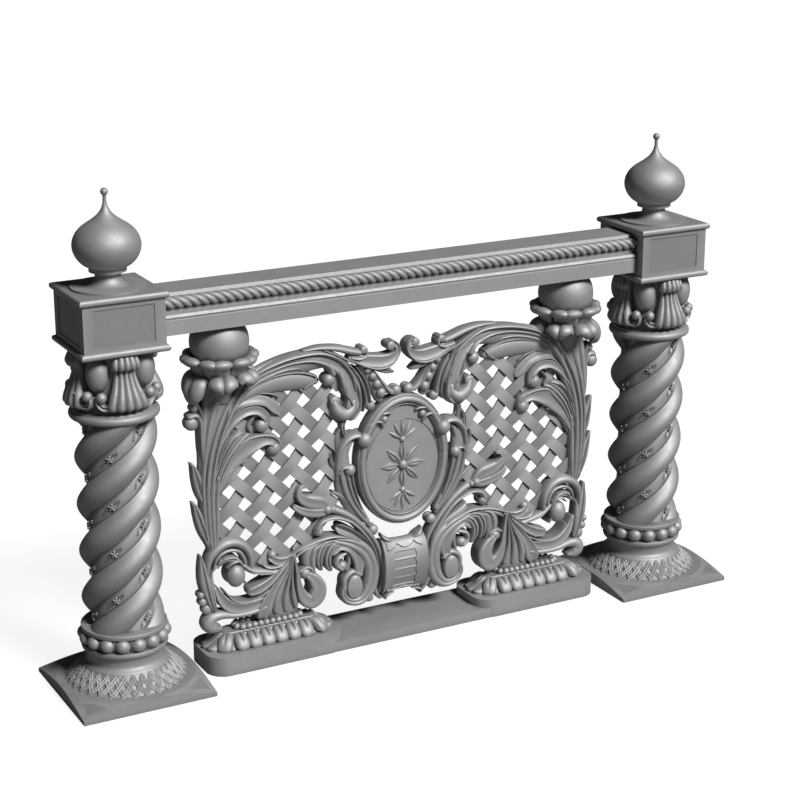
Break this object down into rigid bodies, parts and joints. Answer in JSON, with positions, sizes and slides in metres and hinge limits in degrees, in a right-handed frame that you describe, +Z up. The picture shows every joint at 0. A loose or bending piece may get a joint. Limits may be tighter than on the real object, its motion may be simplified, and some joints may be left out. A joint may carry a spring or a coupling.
{
  "type": "stone balustrade",
  "caption": "Carved stone balustrade bay: twisted posts with bulb finials, a rope-edged handrail and a pierced scrollwork panel with a plain oval medallion.",
  "frame": {"origin": "on the ground, midway between the two posts", "axes": "+X along the balustrade, +Y towards its back, +Z up"},
  "size_m": [1.906, 0.346, 1.265],
  "materials": {
    "stone": "matt carved grey stone"
  },
  "bodies": {
    "root": {"back_rope": "stone", "collar": "stone", "front_rope": "stone", "handrail": "stone", "left_arch": "stone", "left_bead_ring": "stone", "left_bracket": "stone", "left_bud": "stone", "left_bud_cup": "stone", "left_cap_block": "stone", "left_capital": "stone", "left_capital_eggs": "stone", "left_crest": "stone", "left_finial": "stone", "left_foot_bead_row": "stone", "left_foot_block": "stone", "left_foot_leaf": "stone", "left_foot_petals": "stone", "left_horn": "stone", "left_inner_volute": "stone", "left_lattice": "stone", "left_lower_scroll": "stone", "left_neck_ring": "stone", "left_post_base": "stone", "left_post_slab": "stone", "left_ring_scroll": "stone", "left_sepals": "stone", "left_shaft": "stone", "medallion_disc": "stone", "medallion_ring": "stone", "plinth_bar": "stone", "right_arch": "stone", "right_bead_ring": "stone", "right_bracket": "stone", "right_bud": "stone", "right_bud_cup": "stone", "right_cap_block": "stone", "right_capital": "stone", "right_capital_eggs": "stone", "right_crest": "stone", "right_finial": "stone", "right_foot_bead_row": "stone", "right_foot_block": "stone", "right_foot_leaf": "stone", "right_foot_petals": "stone", "right_horn": "stone", "right_inner_volute": "stone", "right_lattice": "stone", "right_lower_scroll": "stone", "right_neck_ring": "stone", "right_post_base": "stone", "right_post_slab": "stone", "right_ring_scroll": "stone", "right_sepals": "stone", "right_shaft": "stone"}
  },
  "joints": []
}
